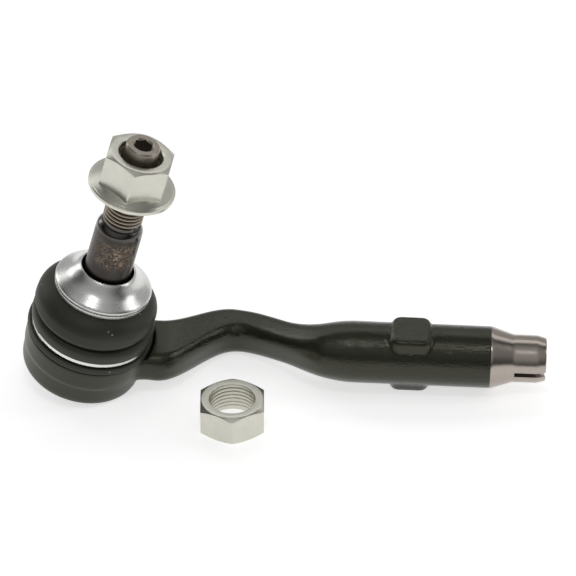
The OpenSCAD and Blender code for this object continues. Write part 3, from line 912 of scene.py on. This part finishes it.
class TIEROD_OT_stud(bpy.types.Operator):
    """Makes the ball stud with its rolled thread and hexagon socket"""
    bl_idname = "tierod.stud"
    bl_label = "Ball stud"

    def execute(self, context):
        sizes, thread = settings().stud, settings().thread
        steel, place = dark_stud_steel(), stud_place()
        ball, neck, shank = sizes.ball_radius, sizes.neck_radius, sizes.shank_radius
        shoulder, top, core = sizes.shoulder, sizes.top, thread.major - thread.depth - 0.02
        flat_depth = 1.4
        flat = math.acos((ball - flat_depth) / ball)
        joint = math.pi - math.asin(neck / ball)
        globe = [(ball * math.sin(a), -ball * math.cos(a))
                 for a in (flat + (joint - flat) * k / 48 for k in range(49))]
        rest = soften([
            globe[-1], (neck - 0.1, 12.4, 0.8), (neck, 13.4, 0.6), (shank - 0.5, 16.8, 0.8),
            (shank, 18.2, 0.6), (shank, shoulder - 1.6, 1.0), (shank - 1.3, shoulder, 0.7),
            (core + 0.1, shoulder, 0.2), (core, shoulder + 0.8), (core, top - 6.2), (5.9, top - 5.6, 0.2),
            (5.88, top - 0.5, 0.25), (5.4, top, 0.25), (3.6, top), (0.0, top)])
        outline = [(0.0, flat_depth - ball)] + globe[:-1] + dense(rest, 0.7)
        corner = sizes.key_width / 2 / math.cos(math.radians(30))
        angles = [math.radians(60 * k + 20) for k in range(6)]
        key = lofted([[(corner * math.cos(a), corner * math.sin(a), z) for a in angles]
                      for z in (top - 5.8, top + 2)])
        lead = turned([(0.0, top - 0.5), (corner - 0.35, top - 0.5), (corner + 0.35, top + 0.2),
                       (0.0, top + 0.2)], 48)
        body = cut(make("stud_body", [turned(outline, 160)], place, steel),
                   [make("key", [key], place, steel), make("lead", [lead], place, steel)])
        ridge = thread_ridge("stud_ridge", core, shoulder + 1.0, top - 5.9, True, place, steel)
        settle(joined("ball_stud_steel", [body, ridge]), "stud", "dark_steel", "ball_stud")
        return {"FINISHED"}


# ---- boot --------------------------------------------------------------------------------

def boot_surface(name, rows, material):
    """A turned skin whose rows each stand in a frame between the socket's and the collar's.
    A row is (r, height, share), where share is 0 on the socket and 1 on the collar."""
    lie, back = settings().lie, settings().boot.bulge_back
    segments, verts, faces = 176, [], []
    for r, z, share in rows:
        place = socket_place() @ turned_by("Y", lie.along * share) @ turned_by("X", -lie.across * share)
        for k in range(segments):
            a = 2 * math.pi * k / segments
            verts.append(tuple(place @ Vector((r * math.cos(a) - back * (1 - share), r * math.sin(a), z))))
    n = len(rows)
    for i in range(n):
        low, high = i * segments, (i + 1) % n * segments
        faces += [[low + k, low + (k + 1) % segments, high + (k + 1) % segments, high + k]
                  for k in range(segments)]
    return make(name, [(verts, faces)], Matrix.Identity(4), material)


class TIEROD_OT_boot(bpy.types.Operator):
    """Makes the rubber boot: a foot, and a bulge in two bands shaped between the socket and the collar"""
    bl_idname = "tierod.boot"
    bl_label = "Boot"

    def execute(self, context):
        rubber = black_rubber()
        self.foot(rubber)
        self.bulge(rubber)
        self.rings()
        return {"FINISHED"}

    def foot(self, rubber):
        sizes = settings().boot
        foot, waist, clamp = sizes.foot_radius, sizes.waist, sizes.clamp_height
        inner, groove = settings().forging.neck_radius + 0.3, 20.0
        profile = soften([
            (inner, 0.7, 0.1), (foot - 0.5, 0.7, 0.3), (foot - 0.1, 1.3, 0.4), (foot - 0.5, clamp - 1.1, 0.3),
            (groove, clamp - 1.1, 0.2), (groove, clamp + 1.1, 0.2), (foot - 0.9, clamp + 1.1, 0.4),
            (foot - 0.65, clamp + 2.6, 0.8), (foot - 0.8, waist - 1.5, 0.9), (foot - 1.5, waist - 0.3, 0.8),
            (foot - 3.0, waist + 0.1, 0.3), (inner + 0.9, waist - 0.1, 0.2), (inner + 0.9, 5.2), (inner, 5.2),
            (inner, 0.7)])
        piece = make("boot_foot_rubber", [turned(profile, 176)], socket_place(), rubber)
        settle(piece, "housing", "rubber_black", "boot_foot")

    def bulge(self, rubber):
        sizes = settings().boot
        bulge, waist = sizes.bulge_radius, sizes.waist
        base, split, middle, top = waist + 0.15, waist + 2.6, waist + 4.2, settings().collar.height - 0.35
        lower = [(bulge - 3.0, base - 0.15), (bulge - 1.5, base + 0.1), (bulge - 0.75, base + 0.75),
                 (bulge - 0.3, base + 1.6), (bulge, split - 0.4), (bulge + 0.02, split)]
        core, rise = bulge - 9.0, top - middle
        arc = [(core + (bulge - core) * math.cos(a), middle + rise * math.sin(a))
               for a in (math.radians(4 + 82 * k / 28) for k in range(29))]
        upper = [lower[-1]] + [p for p in arc if p[1] > split + 0.2] + [(12.6, top), (11.2, top)]

        def band(name, outer):
            rows = [(r, z, ease((z - base) / (top - base))) for r, z in self.shell(outer, sizes.wall)]
            return boot_surface(name, rows, rubber)

        self.follow(band("boot_bulge_low", lower), "housing", "boot_mid", base + 0.2, split - 0.4,
                    ["boot_bellows"])
        self.follow(band("boot_bulge_high", upper), "boot_mid", "sleeve", split + 0.6, top - 0.6, [])

    def rings(self):
        """The clamp's wire, wound twice round the foot, and the snap ring under the collar."""
        wire = turned_steel("clamp_wire", socket_place(), (0.80, 0.79, 0.75), 0.22, 0.003, 0.4)
        low = settings().boot.clamp_height - 0.66
        place = socket_place() @ Matrix.Translation((0, 0, low)) @ turned_by("Z", math.radians(219))
        ring = grown("clamp_band", coil_tree(), {"Radius": 20.95, "Turns": 2.02, "Pitch": 0.68, "Width": 0.50,
                                                 "Height": 1.0, "Corner": 0.18}, place, wire)
        settle(ring, "housing", "clamp_steel", "clamp_ring")
        spring = turned_steel("snap_wire", stud_place(), (0.42, 0.41, 0.40), 0.35, 0.01)
        place = stud_place(settings().collar.height - 2.65) @ turned_by("Z", math.radians(100))
        snap = grown("snap_ring", ring_tree(), {"Radius": 11.45, "Gap": math.radians(14), "Width": 1.1,
                                                "Height": 0.85, "Corner": 0.25}, place, spring)
        settle(snap, "sleeve", "spring_steel", "top_ring")

    def shell(self, outer, wall):
        """A closed section: the outer line up, and the inner line back down."""
        points = [Vector(p) for p in outer]
        inner = []
        for i, p in enumerate(points):
            along = (points[min(i + 1, len(points) - 1)] - points[max(i - 1, 0)]).normalized()
            inner.append(p + Vector((-along.y, along.x)) * wall)
        return [tuple(p) for p in points] + [tuple(p) for p in inner[::-1]]

    def follow(self, piece, low_body, high_body, low, high, nodes):
        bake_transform(piece)
        if nodes:
            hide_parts(*nodes)


# ---- collar ------------------------------------------------------------------------------

class TIEROD_OT_collar(bpy.types.Operator):
    """Makes the turned collar round the shank"""
    bl_idname = "tierod.collar"
    bl_label = "Collar"

    def execute(self, context):
        sizes = settings().collar
        rim, bore, place = sizes.rim_radius, sizes.bore_radius, stud_place(sizes.height)
        metal = turned_steel("turned_aluminium", place, sizes.metal, 0.27, 0.012, 5.0)
        profile = soften([
            (bore, -3.4, 0.2), (bore + 1.6, -3.4, 0.2), (bore + 1.6, 0.0), (rim - 3.0, 0.0),
            (rim - 3.0, -1.0, 0.2), (rim - 0.25, -1.0, 0.3), (rim - 0.15, 0.5, 0.12), (rim - 0.85, 0.6, 0.05),
            (rim - 0.85, 1.1, 0.05), (rim - 0.05, 1.2, 0.12), (rim, 1.95, 0.3), (rim - 0.5, 2.5, 0.4),
            (rim - 4.4, 5.2, 1.6), (bore + 1.2, 8.1, 0.5), (bore + 0.5, 8.7, 0.3), (bore, 8.6, 0.3),
            (bore, -3.4)])
        settle(make("collar_turned", [turned(dense(profile, 0.8), 220)], place, metal),
               "sleeve", "turned_aluminium", "collar")
        return {"FINISHED"}


# ---- nuts --------------------------------------------------------------------------------

def hexagon_radius(flats, corner, turn):
    """A function of the angle: the radius of a hexagon with rounded corners."""
    half = flats / 2
    centre = (half - corner) / math.cos(math.radians(30))
    limit = math.atan2(corner * 0.5, centre + corner * math.cos(math.radians(30)))

    def radius(a):
        from_corner = (a - turn) % math.radians(60)
        from_corner = min(from_corner, math.radians(60) - from_corner)
        if from_corner < limit:
            across = centre * math.sin(from_corner)
            return centre * math.cos(from_corner) + math.sqrt(corner ** 2 - across ** 2)
        return half / math.cos(math.radians(30) - from_corner)
    return radius


def nut_rows(radius, *spans):
    """Rows of one radius between heights: each span is (low, high, how many)."""
    return [(radius, float(z)) for span in spans for z in np.linspace(*span)]


class TIEROD_OT_nuts(bpy.types.Operator):
    """Makes the flange nut on the stud and the loose nut on the bench"""
    bl_idname = "tierod.nuts"
    bl_label = "Nuts"

    def execute(self, context):
        sizes = settings().nuts
        self.corner = sizes.across_flats / 2 / math.cos(math.radians(30))
        self.flange_nut(sizes)
        self.lock_nut(sizes)
        return {"FINISHED"}

    def flange_nut(self, sizes):
        hexagon = hexagon_radius(sizes.across_flats, 0.6, sizes.flange_turn)
        place = stud_place(settings().stud.shoulder + 15.0)
        tall, flange, bore = sizes.flange_nut_height, sizes.flange_radius, settings().thread.major + 0.1
        band, dish_slope = 1.0, 0.4

        def shape(a, r, z):
            if r < bore + 1.6 or z < 0.01:
                return r
            skirt = 0.0
            if 0.4 < z < 3.6:
                skirt = flange if z < 1.98 else flange - band - (z - 2.0) / dish_slope
            cone = self.corner + 0.2 - max(0.0, z - (tall - 1.25)) * 1.9
            return max(min(r, hexagon(a), cone), min(skirt, r))

        rows = [(bore, 0.05), (bore + 0.5, 0.0), (flange - 0.5, 0.0), (flange - 0.1, 0.15), (flange, 0.45),
                (flange, 1.45), (flange - 0.08, 1.75), (flange - 0.3, 1.92), (flange - band, 1.96)]
        rows += nut_rows(flange + 1, (2.02, 3.5, 28), (3.8, tall - 2.6, 9), (tall - 2.5, tall - 0.02, 26))
        rows += soften([(10.35, tall), (8.0, tall, 0.2), (7.65, tall - 0.4, 0.2),
                        (bore + 0.15, tall - 1.9, 0.3),
                        (bore, tall - 2.6), (bore, 0.05)])
        body = make("nut_body", [turned(rows, 360, shape)], place, zinc_plate("zinc_flange_nut", place))
        settle(body, "stud_nut", "zinc_plate", "flange_nut")

    def lock_nut(self, sizes):
        low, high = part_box("lock_nut")
        middle = (low + high) / 2 / MM
        place = Matrix.Translation((middle.x, middle.y, low.z / MM))
        zinc = zinc_plate("zinc_lock_nut", place)
        hexagon = hexagon_radius(sizes.across_flats, 0.5, sizes.lock_turn)
        tall, wall, flat = sizes.lock_nut_height, sizes.lock_bore, sizes.across_flats / 2 - 0.45

        def shape(a, r, z):
            if r < flat:
                return r
            return min(hexagon(a), flat + 0.05 + z * 1.9, flat + 0.05 + (tall - z) * 1.9, self.corner + 0.2)

        rows = soften([(wall, 0.6), (wall + 0.1, 0.15, 0.1), (wall + 0.3, 0.0, 0.1), (flat - 0.05, 0.0)])
        rows += nut_rows(self.corner, (0.02, 2.2, 26), (2.6, tall - 2.6, 8), (tall - 2.2, tall - 0.02, 26))
        rows += soften([(flat - 0.05, tall), (wall + 0.12, tall, 0.1), (wall, tall - 0.15, 0.1),
                        (wall, tall - 0.6)])
        rows += [(wall, 0.6)]
        body = make("nut_body", [turned(rows, 360, shape)], place, zinc)
        ridge = thread_ridge("nut_ridge", wall, 0.7, tall - 0.7, False, place, zinc, 0.26)
        settle(joined("lock_nut_steel", [body, ridge]), "loose_nut", "zinc_plate", "lock_nut")


# ---- inner pieces ------------------------------------------------------------------------

class TIEROD_OT_inner(bpy.types.Operator):
    """Gives the CAD pieces inside the socket and under it their finishes"""
    bl_idname = "tierod.inner"
    bl_label = "Inner pieces"

    def execute(self, context):
        plastic = moulded_plastic()
        spring = turned_steel("spring_steel", socket_place(), (0.42, 0.41, 0.40), 0.35, 0.02)
        cap = turned_steel("coated_cap", socket_place(), (0.02, 0.02, 0.018), 0.4, 0.03, 3.0, across=True)
        for node, finish in (("upper_bearing", plastic), ("lower_bearing", plastic),
                             ("disc_spring", spring), ("end_cap", cap)):
            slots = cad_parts[node].data.materials
            slots.clear()
            slots.append(finish)
        return {"FINISHED"}


# ---- studio ------------------------------------------------------------------------------

class TIEROD_OT_studio(bpy.types.Operator):
    """Makes the floor, the soft lights, the surroundings and the camera"""
    bl_idname = "tierod.studio"
    bl_label = "Studio"

    def execute(self, context):
        s = settings().studio
        scene = context.scene
        half, ground = 3.0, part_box("lock_nut")[0].z
        mesh = bpy.data.meshes.new("bench")
        corners = [(x * half, y * half, ground) for x, y in ((-1, -1), (1, -1), (1, 1), (-1, 1))]
        mesh.from_pydata(corners, [], [[0, 1, 2, 3]])
        bench = bpy.data.objects.new("bench", mesh)
        scene.collection.objects.link(bench)
        bench.data.materials.append(floor_finish())
        target = Vector(s.target)
        camera = bpy.data.objects.new("camera", bpy.data.cameras.new("camera"))
        camera.data.lens, camera.data.sensor_width = s.lens, 36.0
        camera.data.clip_start, camera.data.clip_end = 0.05, 20.0
        back = turned_by("Z", s.azimuth) @ turned_by("X", -s.elevation) @ Vector((0, -s.distance, 0))
        camera.location = target + back
        camera.rotation_euler = (math.radians(90) - s.elevation, 0.0, s.azimuth)
        scene.collection.objects.link(camera)
        scene.camera = camera
        for name, place, width, height, watts in LAMPS:
            lamp = bpy.data.lights.new(name, "AREA")
            lamp.shape, lamp.size, lamp.size_y, lamp.energy = "RECTANGLE", width, height, watts
            thing = bpy.data.objects.new(name, lamp)
            thing.location = target + Vector(place)
            thing.rotation_euler = (-Vector(place)).to_track_quat("-Z", "Y").to_euler()
            scene.collection.objects.link(thing)
        world = bpy.data.worlds.new("surroundings")
        world.use_nodes = True
        self.surroundings(world.node_tree)
        scene.world = world
        scene.view_settings.view_transform = "Standard"
        return {"FINISHED"}

    def surroundings(self, tree):
        """A pale room with a dark patch behind the camera."""
        coordinate = tree.nodes.new("ShaderNodeTexCoord")
        toward = tree.nodes.new("ShaderNodeVectorMath")
        toward.operation = "DOT_PRODUCT"
        toward.inputs[1].default_value = (0.0, -0.50, 0.866)
        tree.links.new(coordinate.outputs["Generated"], toward.inputs[0])
        patch = tree.nodes.new("ShaderNodeValToRGB")
        ramp = patch.color_ramp
        ramp.interpolation = "EASE"
        for place, level in ((0.0, 1.0), (0.22, 0.85), (0.36, 0.40), (0.47, 0.04), (1.0, 0.02)):
            stop = ramp.elements.new(place)
            stop.color = (level, level, level, 1.0)
        ramp.elements.remove(ramp.elements[0])
        ramp.elements.remove(ramp.elements[-1])
        tree.links.new(toward.outputs["Value"], patch.inputs["Fac"])
        sky = tree.nodes["Background"]
        tree.links.new(patch.outputs["Color"], sky.inputs["Color"])
        sky.inputs["Strength"].default_value = 0.48


# name, place from the target in metres, width, height, watts
LAMPS = (
    ("overhead", (0.0, 0.62, 0.90), 1.60, 0.38, 2.0),
    ("front_lamp", (-0.02, -0.42, 0.95), 0.16, 0.06, 0.62),
    ("right_panel", (0.88, 0.0, 0.56), 0.30, 0.50, 1.1),
    ("left_panel", (-0.85, 0.55, 0.55), 0.30, 0.50, 1.1),
)


class TIEROD_PT_panel(bpy.types.Panel):
    """Lists the pieces and their settings"""
    bl_label = "Tie rod end"
    bl_space_type = "VIEW_3D"
    bl_region_type = "UI"
    bl_category = "Tie rod"

    def draw(self, context):
        for operator in PIECES:
            self.layout.operator(operator.bl_idname)
        for key in GROUPS:
            box = self.layout.box()
            box.label(text=key.title())
            group = getattr(context.scene.tie_rod, key)
            for name in group.bl_rna.properties.keys():
                if name not in ("name", "rna_type"):
                    box.prop(group, name)


PIECES = (TIEROD_OT_forging, TIEROD_OT_stud, TIEROD_OT_boot, TIEROD_OT_collar, TIEROD_OT_nuts,
          TIEROD_OT_inner, TIEROD_OT_studio)
CLASSES = (*GROUPS.values(), TieRodSettings, *PIECES, TIEROD_PT_panel)


def register():
    for kind in CLASSES:
        bpy.utils.register_class(kind)
    bpy.types.Scene.tie_rod = PointerProperty(type=TieRodSettings)


def unregister():
    del bpy.types.Scene.tie_rod
    for kind in reversed(CLASSES):
        bpy.utils.unregister_class(kind)


def main():
    register()
    for operator in PIECES:
        group, name = operator.bl_idname.split(".")
        getattr(getattr(bpy.ops, group), name)()


if __name__ == "__main__":
    main()
